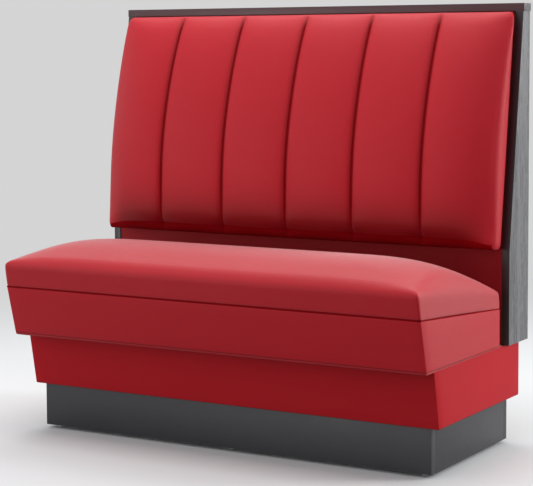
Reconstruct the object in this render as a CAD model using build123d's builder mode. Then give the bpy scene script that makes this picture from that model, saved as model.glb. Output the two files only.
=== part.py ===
"""Single restaurant booth: plinth, upholstered box, sprung seat and channelled back.

Millimetres, +Z up, the sitter faces -Y. The origin lies on the floor, under the
middle of the booth's bounding box. Every glide stands fully screwed in.
"""
from build123d import *
import math
import os

os.makedirs("parts", exist_ok=True)

# The back
back_width = 1161.0
back_foot_depth = 119.0
back_top_depth = 41.0
back_height = 804.0
back_bend_height = 226.0
cap_thickness = 19.0
cap_overhang = 1.5

# The seat box, in front of the back
seat_side_step = 7.5
seat_back_gap = 38.0
seat_base_depth = 403.5
seat_front_lean = 46.0
seat_nose_height = 176.0

# The lower box, stepped in from the seat and from the back's rear
lower_side_step = 5.0
lower_front_step = 47.5
lower_rear_step = 27.5
lower_front_lean = 26.0
lower_height = 136.0

# The plinth, stepped in from the lower box
plinth_side_step = 23.0
plinth_front_step = 11.5
plinth_rear_step = 20.5
plinth_height = 108.0

# Sheet stock
board = 18.0
panel_board = 19.0
floor_ply = 12.0
back_ply = 9.0
rear_sheet = 6.0
band_thickness = 2.0
cover_thickness = 2.5

# Levelling glides, their nuts and blocks
glide_foot_radius = 11.0
glide_foot_edge = 4.5
glide_hexagon_radius = 8.0
glide_foot_height = 8.7
glide_seat_gap = 0.3
glide_stem_radius = 4.0
glide_stem_length = 42.0
glide_inset = 29.0
thread_clearance = 0.05
nut_barrel_radius = 5.0
nut_barrel_length = 12.0
nut_flange_radius = 10.0
nut_flange_thickness = 1.5
block_size = 50.0
block_height = 58.5
block_hole_spare = 6.0
fit_clearance = 0.1

# Seat frame, springs and filling
seam_front_height = 125.0
seam_rear_height = 94.0
spring_drop = 46.0
batten = 28.0
spring_count = 6
spring_wire = 4.0
spring_width = 52.0
spring_bends = 9
bend_sides = 8
clip_width = 26.0
clip_depth = 12.0
clip_thickness = 1.5
pad_thickness = 4.0
seat_rear_side_height = 35.0
seat_front_crown = 24.0
seat_rear_crown = 15.0
seat_edge_arch = 7.0
seat_middle_arch = 62.0
seat_crown_reach = 290.0
seat_top_roll = 10.0
seat_rear_roll = 14.0

# Back boards and channelled cushion
strip_setback = 2.0
strip_thickness = 12.0
strip_height = 234.0
back_board_setback = 6.0
back_rail_height = 70.0
cushion_side_gap = 5.0
cushion_top_gap = 2.0
cushion_thickness = 103.0
channel_count = 6
channel_depth = 16.0
cushion_side_roll = 24.0

# Fasteners
screw_radius = 2.5
screw_sides = 12
screw_head_radius = 5.0
screw_head_height = 3.5
screw_length = 42.0
screw_inset = 70.0
dowel_radius = 4.0
dowel_length = 30.0

# Levels and stations worked out from the sizes above
seat_lean_angle = math.atan(seat_front_lean / seat_nose_height)
nose_loss = seat_top_roll * (math.tan(seat_lean_angle) + 1 / math.cos(seat_lean_angle) - 1)
seat_rear_step = cap_overhang + back_foot_depth + seat_back_gap
rear_y = (seat_rear_step + seat_base_depth + seat_front_lean - nose_loss) / 2
plinth_bottom = glide_foot_height + glide_seat_gap
lower_bottom = plinth_bottom + plinth_height
seat_bottom = lower_bottom + lower_height
back_top = seat_bottom + back_height
seat_rear_y = rear_y - seat_rear_step
seat_front_y = seat_rear_y - seat_base_depth
lower_rear_y = rear_y - lower_rear_step
lower_front_y = seat_front_y + lower_front_step + lower_front_lean
plinth_rear_y = lower_rear_y - plinth_rear_step
plinth_front_y = lower_front_y + plinth_front_step
panel_rear_y = rear_y - cap_overhang
panel_front_y = panel_rear_y - back_foot_depth
panel_top_front_y = panel_rear_y - back_top_depth
bend_level = seat_bottom + back_bend_height
back_half = back_width / 2
inner_half = back_half - panel_board
seat_half = back_half - seat_side_step
lower_half = seat_half - lower_side_step
plinth_half = lower_half - plinth_side_step


def plan_rectangle(left, right, front, rear, level):
    """Rectangle seen from above, between its four sides, at one level."""
    with BuildSketch(Plane.XY.offset(level)) as outline:
        with Locations(((left + right) / 2, (front + rear) / 2)):
            Rectangle(right - left, rear - front)
    return outline.sketch


def side_outline(points, station):
    """Closed outline of (y, z) points in the plane across X at one station."""
    with BuildSketch(Plane.YZ.offset(station)) as outline:
        with BuildLine():
            Polyline(*points, close=True)
        make_face()
    return outline.sketch


def shank_faces(spots, radius, level):
    """Sections of coach-screw shanks, or of their pilot holes, at one level."""
    with BuildSketch(Plane.XY.offset(level)) as faces:
        with Locations(*spots):
            RegularPolygon(radius, screw_sides)
    return faces.sketch


def cut_pilot_holes(spots, level, depth):
    """Cut holes for screw shanks down into the part being built."""
    extrude(
        shank_faces(spots, screw_radius + fit_clearance, level),
        amount=-depth - fit_clearance,
        mode=Mode.SUBTRACT,
    )


def write(part, name):
    """Label a finished piece and write its STEP file."""
    part.label = name
    export_step(part, f"parts/{name}.step")


# Plinth: four laminate boards on edge and two ribs, 108 high.
with BuildPart() as plinth_front_board:
    front_rear_y = plinth_front_y + board
    extrude(
        plan_rectangle(-plinth_half, plinth_half, plinth_front_y, front_rear_y, plinth_bottom),
        amount=plinth_height,
    )
write(plinth_front_board.part, "plinth_front_board")

with BuildPart() as plinth_rear_board:
    rear_front_y = plinth_rear_y - board
    extrude(
        plan_rectangle(-plinth_half, plinth_half, rear_front_y, plinth_rear_y, plinth_bottom),
        amount=plinth_height,
    )
write(plinth_rear_board.part, "plinth_rear_board")

# The side boards take two screws each, down through the box floor.
plinth_screw_x = plinth_half - board / 2
plinth_screw_spots = [
    (side * plinth_screw_x, y)
    for side in (-1, 1)
    for y in (plinth_front_y + screw_inset, plinth_rear_y - screw_inset)
]
screw_bite = screw_length - floor_ply
for side_name, side, start in (("left", -1, -plinth_half), ("right", 1, plinth_half - board)):
    with BuildPart() as plinth_side_board:
        extrude(
            plan_rectangle(start, start + board, front_rear_y, rear_front_y, plinth_bottom),
            amount=plinth_height,
        )
        cut_pilot_holes([spot for spot in plinth_screw_spots if spot[0] * side > 0], lower_bottom, screw_bite)
    write(plinth_side_board.part, f"plinth_{side_name}_board")

# The ribs stand at a third and two thirds of the width.
rib_x = plinth_half / 3
for side_name, start in (("left", -rib_x - board / 2), ("right", rib_x - board / 2)):
    with BuildPart() as plinth_rib:
        extrude(
            plan_rectangle(start, start + board, front_rear_y, rear_front_y, plinth_bottom),
            amount=plinth_height,
        )
    write(plinth_rib.part, f"plinth_{side_name}_rib")

# Six glides: one under each corner and one in the middle of the front and rear boards.
glide_x = plinth_half - glide_inset
glide_rows = (
    ("front", plinth_front_y + glide_inset, front_rear_y, 1),
    ("rear", plinth_rear_y - glide_inset, rear_front_y, -1),
)
glide_columns = (("left", -glide_x, -1), ("middle", 0, 0), ("right", glide_x, 1))
glide_spots = [(column[1], row[1]) for row in glide_rows for column in glide_columns]
block_x = plinth_half - board - block_size / 2
block_bottom = plinth_bottom + nut_flange_thickness
stem_top = glide_foot_height + glide_stem_length
bore_depth = stem_top - block_bottom + block_hole_spare

with BuildPart() as glide_blocks:
    with BuildSketch(Plane.XY.offset(block_bottom)):
        for row, y, wall_y, inward in glide_rows:
            for column, x, side in glide_columns:
                with Locations((side * block_x, wall_y + inward * block_size / 2)):
                    Rectangle(block_size, block_size)
    extrude(amount=block_height)
    with BuildSketch(Plane.XY.offset(block_bottom)):
        with Locations(*glide_spots):
            Circle(nut_barrel_radius + fit_clearance)
    extrude(amount=bore_depth, mode=Mode.SUBTRACT)
write(glide_blocks.part, "glide_blocks")

# A nut is a six-sided flange under the block with a barrel up into its bore.
with BuildPart() as glide_nuts:
    with BuildSketch(Plane.XY.offset(plinth_bottom)):
        with Locations(*glide_spots):
            RegularPolygon(nut_flange_radius, 6)
    extrude(amount=nut_flange_thickness)
    with BuildSketch(Plane.XY.offset(block_bottom)):
        with Locations(*glide_spots):
            Circle(nut_barrel_radius)
    extrude(amount=nut_barrel_length)
    with BuildSketch(Plane.XY.offset(plinth_bottom)):
        with Locations(*glide_spots):
            Circle(glide_stem_radius + thread_clearance)
    extrude(amount=nut_flange_thickness + nut_barrel_length, mode=Mode.SUBTRACT)
write(glide_nuts.part, "glide_nuts")

# A glide is a round foot with a spanner hexagon on it and a threaded stem.
for row, y, wall_y, inward in glide_rows:
    for column, x, side in glide_columns:
        with BuildPart() as glide:
            with BuildSketch():
                with Locations((x, y)):
                    Circle(glide_foot_radius)
            extrude(amount=glide_foot_edge)
            with BuildSketch():
                with Locations((x, y)):
                    RegularPolygon(glide_hexagon_radius, 6)
            extrude(amount=glide_foot_height)
            with BuildSketch(Plane.XY.offset(glide_foot_height)):
                with Locations((x, y)):
                    Circle(glide_stem_radius)
            extrude(amount=glide_stem_length)
        write(glide.part, f"{row}_{column}_glide")

# Lower box: a leaning front, straight sides and rear, a floor and two ribs, covered in vinyl.
lower_slope = math.atan(lower_front_lean / lower_height)
lower_board_run = board / math.cos(lower_slope)
lower_cover_back = lower_front_y + cover_thickness
lower_board_back = lower_cover_back + lower_board_run
lower_wall_outer = lower_half - cover_thickness
lower_wall_inner = lower_wall_outer - board
lower_wall_rear = lower_rear_y - board


def lower_lean_at(level):
    """How far the leaning front has come forward at a level."""
    return lower_front_lean * (level - lower_bottom) / lower_height


def lower_slab(front, back, low, high):
    """Side outline between a leaning front line and a back line, both given at the box's foot."""
    low_lean = lower_lean_at(low)
    high_lean = lower_lean_at(high)
    return [
        (front - low_lean, low), (back[0] - back[1] * low_lean, low),
        (back[0] - back[1] * high_lean, high), (front - high_lean, high),
    ]


with BuildPart() as lower_front_cover:
    outline = lower_slab(lower_front_y, (lower_cover_back, 1), lower_bottom, seat_bottom)
    extrude(side_outline(outline, -lower_half), amount=2 * lower_half)
write(lower_front_cover.part, "lower_front_cover")

for side_name, start in (("left", -lower_half), ("right", lower_wall_outer)):
    with BuildPart() as lower_side_cover:
        outline = lower_slab(lower_cover_back, (lower_rear_y, 0), lower_bottom, seat_bottom)
        extrude(side_outline(outline, start), amount=cover_thickness)
    write(lower_side_cover.part, f"lower_{side_name}_cover")

with BuildPart() as lower_front_board:
    outline = lower_slab(lower_cover_back, (lower_board_back, 1), lower_bottom, seat_bottom)
    extrude(side_outline(outline, -lower_wall_outer), amount=2 * lower_wall_outer)
write(lower_front_board.part, "lower_front_board")

# The rear board takes the screws of the back's foot rail in its top edge.
screw_reach = inner_half - screw_inset
back_screw_shares = (-1, -1 / 3, 1 / 3, 1)
back_screw_spots = [(share * screw_reach, lower_rear_y - board / 2) for share in back_screw_shares]
with BuildPart() as lower_rear_board:
    extrude(
        plan_rectangle(-lower_wall_outer, lower_wall_outer, lower_wall_rear, lower_rear_y, lower_bottom),
        amount=lower_height,
    )
    cut_pilot_holes(back_screw_spots, seat_bottom, screw_length - board)
write(lower_rear_board.part, "lower_rear_board")

for side_name, start in (("left", -lower_wall_outer), ("right", lower_wall_inner)):
    with BuildPart() as lower_side_board:
        outline = lower_slab(lower_board_back, (lower_wall_rear, 0), lower_bottom, seat_bottom)
        extrude(side_outline(outline, start), amount=board)
    write(lower_side_board.part, f"lower_{side_name}_board")

with BuildPart() as lower_floor_panel:
    outline = lower_slab(lower_board_back, (lower_wall_rear, 0), lower_bottom, lower_bottom + floor_ply)
    extrude(side_outline(outline, -lower_wall_inner), amount=2 * lower_wall_inner)
    cut_pilot_holes(plinth_screw_spots, lower_bottom + floor_ply, floor_ply)
write(lower_floor_panel.part, "lower_floor_panel")

# The ribs stand over the plinth's ribs and take the seat's screws in their top edges.
seat_screw_spots = [
    (side * rib_x, y)
    for side in (-1, 1)
    for y in (lower_board_back + screw_inset, seat_rear_y - screw_inset)
]
for side_name, side in (("left", -1), ("right", 1)):
    with BuildPart() as lower_rib:
        outline = lower_slab(lower_board_back, (lower_wall_rear, 0), lower_bottom + floor_ply, seat_bottom)
        extrude(side_outline(outline, side * rib_x - board / 2), amount=board)
        cut_pilot_holes([spot for spot in seat_screw_spots if spot[0] * side > 0], seat_bottom, screw_bite)
    write(lower_rib.part, f"lower_{side_name}_rib")

# Seat box: its front leans out to the nose, its top edges fall to the rear with the seam.
seat_board_run = board / math.cos(seat_lean_angle)
seat_cover_back = seat_front_y + cover_thickness
seat_board_back = seat_cover_back + seat_board_run
seat_wall_outer = seat_half - cover_thickness
seat_wall_inner = seat_wall_outer - board
seat_wall_rear = seat_rear_y - board
front_fall = math.tan(seat_lean_angle)
seam_front_level = seat_bottom + seam_front_height
seam_rear_level = seat_bottom + seam_rear_height
seam_front_y = seat_front_y - front_fall * seam_front_height
seam_pitch = (seam_front_level - seam_rear_level) / (seat_rear_y - seam_front_y)


def seam_level(y):
    """Height of the seam between cushion and box, anywhere from nose to rear."""
    return seam_front_level - seam_pitch * (y - seam_front_y)


def front_meets_seam(foot_y):
    """Where a line that leans like the front, starting at a foot, meets the seam's plane."""
    rise = (seam_level(foot_y) - seat_bottom) / (1 - seam_pitch * front_fall)
    return (foot_y - front_fall * rise, seat_bottom + rise)


with BuildPart() as seat_front_cover:
    outline = [
        (seat_front_y, seat_bottom), (seat_cover_back, seat_bottom),
        front_meets_seam(seat_cover_back), front_meets_seam(seat_front_y),
    ]
    extrude(side_outline(outline, -seat_half), amount=2 * seat_half)
write(seat_front_cover.part, "seat_front_cover")

for side_name, start in (("left", -seat_half), ("right", seat_wall_outer)):
    with BuildPart() as seat_side_cover:
        outline = [
            (seat_cover_back, seat_bottom), (seat_rear_y, seat_bottom),
            (seat_rear_y, seam_level(seat_rear_y)), front_meets_seam(seat_cover_back),
        ]
        extrude(side_outline(outline, start), amount=cover_thickness)
    write(seat_side_cover.part, f"seat_{side_name}_cover")

with BuildPart() as seat_front_rail:
    outline = [
        (seat_cover_back, seat_bottom), (seat_board_back, seat_bottom),
        front_meets_seam(seat_board_back), front_meets_seam(seat_cover_back),
    ]
    extrude(side_outline(outline, -seat_wall_outer), amount=2 * seat_wall_outer)
write(seat_front_rail.part, "seat_front_rail")

with BuildPart() as seat_rear_rail:
    outline = [
        (seat_wall_rear, seat_bottom), (seat_rear_y, seat_bottom),
        (seat_rear_y, seam_level(seat_rear_y)), (seat_wall_rear, seam_level(seat_wall_rear)),
    ]
    extrude(side_outline(outline, -seat_wall_outer), amount=2 * seat_wall_outer)
write(seat_rear_rail.part, "seat_rear_rail")

for side_name, start in (("left", -seat_wall_outer), ("right", seat_wall_inner)):
    with BuildPart() as seat_side_rail:
        outline = [
            (seat_board_back, seat_bottom), (seat_wall_rear, seat_bottom),
            (seat_wall_rear, seam_level(seat_wall_rear)), front_meets_seam(seat_board_back),
        ]
        extrude(side_outline(outline, start), amount=board)
    write(seat_side_rail.part, f"seat_{side_name}_rail")

with BuildPart() as seat_base_panel:
    outline = [
        (seat_board_back, seat_bottom), (seat_wall_rear, seat_bottom),
        (seat_wall_rear, seat_bottom + floor_ply),
        (seat_board_back - front_fall * floor_ply, seat_bottom + floor_ply),
    ]
    extrude(side_outline(outline, -seat_wall_inner), amount=2 * seat_wall_inner)
    cut_pilot_holes(seat_screw_spots, seat_bottom + floor_ply, floor_ply)
write(seat_base_panel.part, "seat_base_panel")


def inner_front_y(level):
    """Inside face of the leaning seat front at a level."""
    return seat_board_back - front_fall * (level - seat_bottom)


def front_meets_drop(drop):
    """Where the inside of the seat front meets a plane that lies a drop under the seam."""
    rise = (seam_level(seat_board_back) - drop - seat_bottom) / (1 - seam_pitch * front_fall)
    return (seat_board_back - front_fall * rise, seat_bottom + rise)


def under_seam(y, drop):
    """Point at y that lies a drop under the seam's plane."""
    return (y, seam_level(y) - drop)


# Battens inside the front and rear rails carry the springs below the seam.
spring_tilt = math.atan(seam_pitch)
spring_low_drop = spring_drop + fit_clearance + spring_wire / math.cos(spring_tilt)
clip_level_drop = spring_low_drop + fit_clearance + clip_thickness / math.cos(spring_tilt)
batten_front_y = front_meets_drop(clip_level_drop)[0]
front_batten_rear_y = batten_front_y + batten
with BuildPart() as seat_front_batten:
    batten_foot_level = seam_level(batten_front_y) - clip_level_drop - batten
    outline = [
        front_meets_drop(clip_level_drop), under_seam(front_batten_rear_y, clip_level_drop),
        (front_batten_rear_y, batten_foot_level), (inner_front_y(batten_foot_level), batten_foot_level),
    ]
    extrude(side_outline(outline, -seat_wall_inner), amount=2 * seat_wall_inner)
write(seat_front_batten.part, "seat_front_batten")

rear_batten_front_y = seat_wall_rear - batten
with BuildPart() as seat_rear_batten:
    outline = [
        under_seam(rear_batten_front_y, clip_level_drop), under_seam(seat_wall_rear, clip_level_drop),
        under_seam(seat_wall_rear, clip_level_drop + batten),
        under_seam(rear_batten_front_y, clip_level_drop + batten),
    ]
    extrude(side_outline(outline, -seat_wall_inner), amount=2 * seat_wall_inner)
write(seat_rear_batten.part, "seat_rear_batten")

# Sinuous springs: flat zigzags of wire from batten to batten, each end held by a clip.
spring_pitch = 2 * seat_wall_inner / spring_count
spring_columns = [(index + 0.5) * spring_pitch - seat_wall_inner for index in range(spring_count)]
spring_front_y = batten_front_y + batten / 2
spring_rear_y = seat_wall_rear - batten / 2
spring_length = (spring_rear_y - spring_front_y) / math.cos(spring_tilt)
bend_pitch = spring_length / (spring_bends + 1)
spring_base = Plane(
    origin=(0, spring_front_y, seam_level(spring_front_y) - spring_low_drop),
    x_dir=(1, 0, 0),
    z_dir=(0, math.sin(spring_tilt), math.cos(spring_tilt)),
)
straight_half = spring_width / 2 - bend_pitch / 2
with BuildSketch() as spring_zigzag:
    with Locations(*[(0, index * bend_pitch) for index in range(spring_bends + 2)]):
        Rectangle(2 * straight_half, spring_wire)
    for index in range(spring_bends + 1):
        side = 1 if index % 2 else -1
        with Locations((side * straight_half, (index + 0.5) * bend_pitch)):
            RegularPolygon((bend_pitch + spring_wire) / 2, bend_sides)
            RegularPolygon((bend_pitch - spring_wire) / 2, bend_sides, mode=Mode.SUBTRACT)
            with Locations((-side * bend_pitch, 0)):
                Rectangle(2 * bend_pitch, bend_pitch - spring_wire, mode=Mode.SUBTRACT)
with BuildPart() as seat_springs:
    with BuildSketch(spring_base):
        with Locations(*[(spring_x, 0) for spring_x in spring_columns]):
            add(spring_zigzag.sketch)
    extrude(amount=spring_wire)
write(seat_springs.part, "seat_springs")

with BuildPart() as spring_clips:
    for clip_y in (0, spring_length):
        with BuildSketch(spring_base):
            with Locations(*[(spring_x, clip_y) for spring_x in spring_columns]):
                Rectangle(clip_width, clip_depth)
        extrude(amount=-clip_thickness)
write(spring_clips.part, "spring_clips")

# The insulator pad lies on the springs and the foam slab fills the box up to the seam.
pad_low_drop = spring_drop
pad_high_drop = spring_drop - pad_thickness
with BuildPart() as seat_insulator_pad:
    outline = [
        front_meets_drop(pad_low_drop), under_seam(seat_wall_rear, pad_low_drop),
        under_seam(seat_wall_rear, pad_high_drop), front_meets_drop(pad_high_drop),
    ]
    extrude(side_outline(outline, -seat_wall_inner), amount=2 * seat_wall_inner)
write(seat_insulator_pad.part, "seat_insulator_pad")

with BuildPart() as seat_foam_slab:
    outline = [
        front_meets_drop(pad_high_drop), under_seam(seat_wall_rear, pad_high_drop),
        under_seam(seat_wall_rear, 0), front_meets_drop(0),
    ]
    extrude(side_outline(outline, -seat_wall_inner), amount=2 * seat_wall_inner)
write(seat_foam_slab.part, "seat_foam_slab")

# Seat cushion: a boxed pad, domed from front to rear. Its sections across X share the seam,
# the leaning nose and the rear; the dome rolls down steeply at the side edges.
nose_y = seat_front_y - seat_front_lean
nose_level = seat_bottom + seat_nose_height
crown_y = (nose_y + seat_rear_y) / 2
crown_shares = (
    (0, 0), (0.012, 0.2), (0.03, 0.35), (0.055, 0.47), (0.09, 0.58), (0.14, 0.69), (0.2, 0.785),
    (0.28, 0.865), (0.38, 0.92), (0.5, 0.955), (0.7, 0.99), (1, 1),
)


def seat_section(station, crown_share):
    """Outline across X: flat foot on the seam, leaning front, arched top and upright rear."""
    rear_top = seam_rear_level + seat_rear_side_height + seat_rear_crown * crown_share
    front_top = nose_level + seat_front_crown * crown_share
    arch = seat_edge_arch + (seat_middle_arch - seat_edge_arch) * crown_share
    middle_top = (front_top + rear_top) / 2 + arch
    with BuildSketch(Plane.YZ.offset(station)) as section:
        with BuildLine():
            Polyline(
                (seat_rear_y, rear_top), (seat_rear_y, seam_rear_level),
                (seam_front_y, seam_front_level), (nose_y, front_top),
            )
            ThreePointArc((nose_y, front_top), (crown_y, middle_top), (seat_rear_y, rear_top))
        make_face()
        nose = section.vertices().sort_by(Axis.X)[0]
        fillet(nose, radius=seat_top_roll)
        rear_edge = section.vertices().sort_by(Axis.X)[-2:].sort_by(Axis.Y)[-1]
        fillet(rear_edge, radius=seat_rear_roll)
    return section.sketch


with BuildPart() as seat_cushion:
    stations = [(seat_half - reach * seat_crown_reach, share) for reach, share in crown_shares]
    sections = [seat_section(-x, share) for x, share in stations]
    sections += [seat_section(x, share) for x, share in reversed(stations)]
    loft(sections, ruled=True)
write(seat_cushion.part, "seat_cushion")

# Back: two end panels under a cap, with the cushion's board leaning back between them.
lean_share = (panel_top_front_y - panel_front_y) / (back_top - bend_level)


def panel_front_at(level):
    """Front edge of an end panel at a level."""
    return panel_front_y + lean_share * max(0, level - bend_level)


def panel_front_line(setback):
    """Front edge of an end panel from foot to top, set back by a distance."""
    return [
        (panel_front_y + setback, seat_bottom),
        (panel_front_y + setback, bend_level),
        (panel_top_front_y + setback, back_top),
    ]


for side_name, start in (("left", -back_half), ("right", inner_half)):
    with BuildPart() as end_panel:
        outline = panel_front_line(band_thickness)
        outline += [(panel_rear_y, back_top), (panel_rear_y, seat_bottom)]
        extrude(side_outline(outline, start), amount=panel_board)
    write(end_panel.part, f"{side_name}_end_panel")
    with BuildPart() as panel_band:
        outline = panel_front_line(0) + panel_front_line(band_thickness)[::-1]
        extrude(side_outline(outline, start), amount=panel_board)
    write(panel_band.part, f"{side_name}_panel_band")

cap_half = back_half + cap_overhang
cap_body_front_y = panel_top_front_y + band_thickness
board_run = back_ply / math.cos(math.atan(lean_share))
rail_front_y = panel_top_front_y + back_board_setback + board_run
rail_rear_y = panel_rear_y - rear_sheet
dowel_y = (rail_front_y + rail_rear_y) / 2
dowel_shares = (-2 / 3, 0, 2 / 3)
dowel_spots = [(share * screw_reach, dowel_y) for share in dowel_shares]
with BuildPart() as top_cap:
    extrude(plan_rectangle(-cap_half, cap_half, cap_body_front_y, rear_y, back_top), amount=cap_thickness)
    with BuildSketch(Plane.XY.offset(back_top)):
        with Locations(*dowel_spots):
            Circle(dowel_radius + fit_clearance)
    extrude(amount=dowel_length / 2, mode=Mode.SUBTRACT)
write(top_cap.part, "top_cap")

with BuildPart() as cap_band:
    extrude(
        plan_rectangle(-cap_half, cap_half, panel_top_front_y, cap_body_front_y, back_top),
        amount=cap_thickness,
    )
write(cap_band.part, "cap_band")

with BuildPart() as outside_back_panel:
    extrude(
        plan_rectangle(-inner_half, inner_half, rail_rear_y, panel_rear_y, seat_bottom), amount=back_height
    )
write(outside_back_panel.part, "outside_back_panel")

strip_top = seat_bottom + strip_height
strip_front_y = panel_front_y + strip_setback
strip_rear_y = strip_front_y + strip_thickness
with BuildPart() as lower_back_panel:
    extrude(
        plan_rectangle(-inner_half, inner_half, strip_front_y, strip_rear_y, seat_bottom), amount=strip_height
    )
write(lower_back_panel.part, "lower_back_panel")


def board_front_at(level):
    """Front face of the leaning board at a level."""
    return panel_front_at(level) + back_board_setback


with BuildPart() as back_board:
    outline = [
        (board_front_at(strip_top), strip_top), (board_front_at(strip_top) + board_run, strip_top),
        (board_front_at(back_top) + board_run, back_top), (board_front_at(back_top), back_top),
    ]
    extrude(side_outline(outline, -inner_half), amount=2 * inner_half)
write(back_board.part, "back_board")

foot_rail_top = seat_bottom + board
with BuildPart() as back_foot_rail:
    extrude(plan_rectangle(-inner_half, inner_half, strip_rear_y, rail_rear_y, seat_bottom), amount=board)
    cut_pilot_holes(back_screw_spots, foot_rail_top, board)
write(back_foot_rail.part, "back_foot_rail")

top_rail_foot = back_top - back_rail_height
with BuildPart() as back_top_rail:
    outline = [
        (board_front_at(top_rail_foot) + board_run, top_rail_foot), (rail_rear_y, top_rail_foot),
        (rail_rear_y, back_top), (board_front_at(back_top) + board_run, back_top),
    ]
    extrude(side_outline(outline, -inner_half), amount=2 * inner_half)
    with BuildSketch(Plane.XY.offset(back_top)):
        with Locations(*dowel_spots):
            Circle(dowel_radius + fit_clearance)
    extrude(amount=-dowel_length / 2, mode=Mode.SUBTRACT)
write(back_top_rail.part, "back_top_rail")

rib_spacing = inner_half / 2
for name, share in (("left", -1), ("middle", 0), ("right", 1)):
    with BuildPart() as back_rib:
        outline = [
            (strip_rear_y, foot_rail_top), (rail_rear_y, foot_rail_top), (rail_rear_y, top_rail_foot),
            (board_front_at(top_rail_foot) + board_run, top_rail_foot),
            (board_front_at(strip_top) + board_run, strip_top), (strip_rear_y, strip_top),
        ]
        extrude(side_outline(outline, share * rib_spacing - board / 2), amount=board)
    write(back_rib.part, f"back_{name}_rib")

# Back cushion: six upright channels between sewn grooves. Its level sections swell from
# the foot to the sitter's shoulders and thin out towards the cap.
cushion_half = inner_half - cushion_side_gap
channel_pitch = 2 * cushion_half / channel_count
cushion_height = back_top - cushion_top_gap - strip_top
thickness_shares = (
    (0, 0.66), (0.006, 0.75), (0.02, 0.81), (0.05, 0.85), (0.12, 0.89), (0.2, 0.95), (0.3, 1),
    (0.4, 1.02), (0.5, 1), (0.6, 0.945), (0.7, 0.86), (0.8, 0.744), (0.88, 0.61),
    (0.94, 0.49), (0.97, 0.42), (0.985, 0.36), (0.995, 0.3), (1, 0.24),
)


def channel_section(height_share, thickness_share):
    """Level outline of the cushion: flat back, rolled sides and one arc for each channel."""
    level = strip_top + cushion_height * height_share
    back_y = board_front_at(level)
    groove_y = back_y - cushion_thickness * thickness_share
    crest_y = groove_y - channel_depth * thickness_share
    roll = cushion_side_roll * thickness_share
    with BuildSketch(Plane.XY.offset(level)) as section:
        with BuildLine():
            for index in range(channel_count):
                start_x = index * channel_pitch - cushion_half
                ThreePointArc(
                    (start_x, groove_y),
                    (start_x + channel_pitch / 2, crest_y),
                    (start_x + channel_pitch, groove_y),
                )
            Polyline(
                (cushion_half, groove_y), (cushion_half, back_y),
                (-cushion_half, back_y), (-cushion_half, groove_y),
            )
        make_face()
        side_corners = section.vertices().group_by(Axis.X)
        front_corners = [group.sort_by(Axis.Y)[0] for group in (side_corners[0], side_corners[-1])]
        fillet(front_corners, radius=roll)
    return section.sketch


with BuildPart() as back_cushion:
    loft([channel_section(height, thickness) for height, thickness in thickness_shares], ruled=True)
write(back_cushion.part, "back_cushion")


def write_screws(spots, head_level, name):
    """A group of identical coach screws: six-sided heads on a level, shanks down from it."""
    with BuildPart() as screws:
        with BuildSketch(Plane.XY.offset(head_level)):
            with Locations(*spots):
                RegularPolygon(screw_head_radius, 6)
        extrude(amount=screw_head_height)
        extrude(shank_faces(spots, screw_radius, head_level), amount=-screw_length)
    write(screws.part, name)


write_screws(plinth_screw_spots, lower_bottom + floor_ply, "plinth_screws")
write_screws(seat_screw_spots, seat_bottom + floor_ply, "seat_screws")
write_screws(back_screw_spots, foot_rail_top, "back_screws")

with BuildPart() as cap_dowels:
    with BuildSketch(Plane.XY.offset(back_top - dowel_length / 2)):
        with Locations(*dowel_spots):
            Circle(dowel_radius)
    extrude(amount=dowel_length)
write(cap_dowels.part, "cap_dowels")
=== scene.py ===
import math

import bmesh
import bpy
import numpy as np
from mathutils import Matrix, Vector


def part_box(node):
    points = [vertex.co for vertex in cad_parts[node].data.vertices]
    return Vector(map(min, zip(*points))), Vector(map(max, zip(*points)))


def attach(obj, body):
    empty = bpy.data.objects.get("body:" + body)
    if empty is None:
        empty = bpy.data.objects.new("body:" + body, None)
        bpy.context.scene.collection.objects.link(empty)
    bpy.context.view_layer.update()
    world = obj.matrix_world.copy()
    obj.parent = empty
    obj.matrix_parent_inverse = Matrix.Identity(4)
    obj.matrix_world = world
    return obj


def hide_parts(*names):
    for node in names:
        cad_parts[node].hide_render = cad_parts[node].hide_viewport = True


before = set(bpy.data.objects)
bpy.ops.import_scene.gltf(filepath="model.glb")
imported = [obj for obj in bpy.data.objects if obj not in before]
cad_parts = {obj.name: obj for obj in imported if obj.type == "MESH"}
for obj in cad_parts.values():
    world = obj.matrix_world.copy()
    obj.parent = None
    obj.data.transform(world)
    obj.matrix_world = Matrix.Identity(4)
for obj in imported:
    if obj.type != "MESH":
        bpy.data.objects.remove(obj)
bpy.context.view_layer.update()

# Studio. A wide pale floor that fades into an equally pale surround, which gives most
# of the light. Tall soft lights stand at the left and behind the right end, a low one
# in front; one hangs overhead, and one behind it puts the sheen on the seat.
scene = bpy.context.scene
scene.view_settings.view_transform = "Standard"


def node(tree, kind, inputs=(), **settings):
    """Add a node, set its options, then feed or set its inputs by name or number."""
    made = tree.nodes.new(kind)
    for key, value in settings.items():
        setattr(made, key, value)
    for key, value in dict(inputs).items():
        if isinstance(value, bpy.types.NodeSocket):
            tree.links.new(value, made.inputs[key])
        else:
            made.inputs[key].default_value = value
    return made


def result(tree, kind, inputs=(), **settings):
    """Add a node and give its first output."""
    return node(tree, kind, inputs, **settings).outputs[0]


def maths(tree, operation, *values, **settings):
    """What a Math node makes of sockets or numbers."""
    return result(tree, "ShaderNodeMath", enumerate(values), operation=operation, **settings)


def ramp(tree, value, low, high):
    """A smooth step from 0 at the low value to 1 at the high one."""
    inputs = {"Value": value, "From Min": low, "From Max": high}
    return result(tree, "ShaderNodeMapRange", inputs, interpolation_type="SMOOTHSTEP")


def mixed(tree, share, first, second):
    """Two colours mixed by a share."""
    inputs = {"Factor": share, "A": first, "B": second}
    return node(tree, "ShaderNodeMix", inputs, data_type="RGBA").outputs["Result"]


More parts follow.
